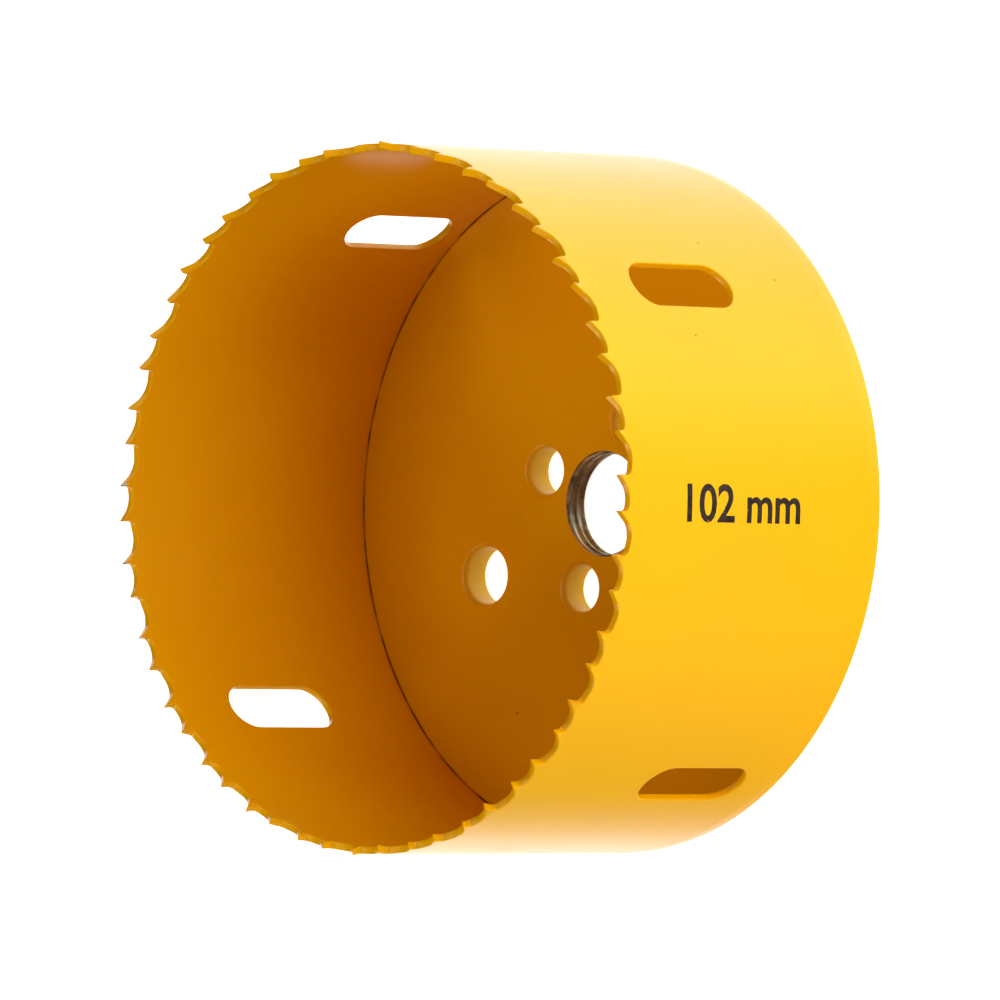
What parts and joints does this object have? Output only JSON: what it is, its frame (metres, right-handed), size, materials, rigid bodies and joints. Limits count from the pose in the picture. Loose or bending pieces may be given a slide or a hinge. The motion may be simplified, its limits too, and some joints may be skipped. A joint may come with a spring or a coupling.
{
  "type": "hole saw",
  "caption": "Cup-shaped hole saw: a rolled band with variable-pitch set teeth and tall chip slots, on a round back plate tapped for an arbor, with drive-pin and relief holes.",
  "frame": {"origin": "centre of the back plate's back face, on the saw's axis", "axes": "+Z along the saw's axis, from the back plate towards the teeth; +X through the middle of the first low slot"},
  "size_m": [0.1016, 0.1022, 0.0534],
  "materials": {
    "shell": "glossy yellow enamel over steel",
    "plate": "glossy yellow enamel over steel"
  },
  "bodies": {
    "root": {"toothed_shell": "shell", "back_plate": "plate"}
  },
  "joints": []
}
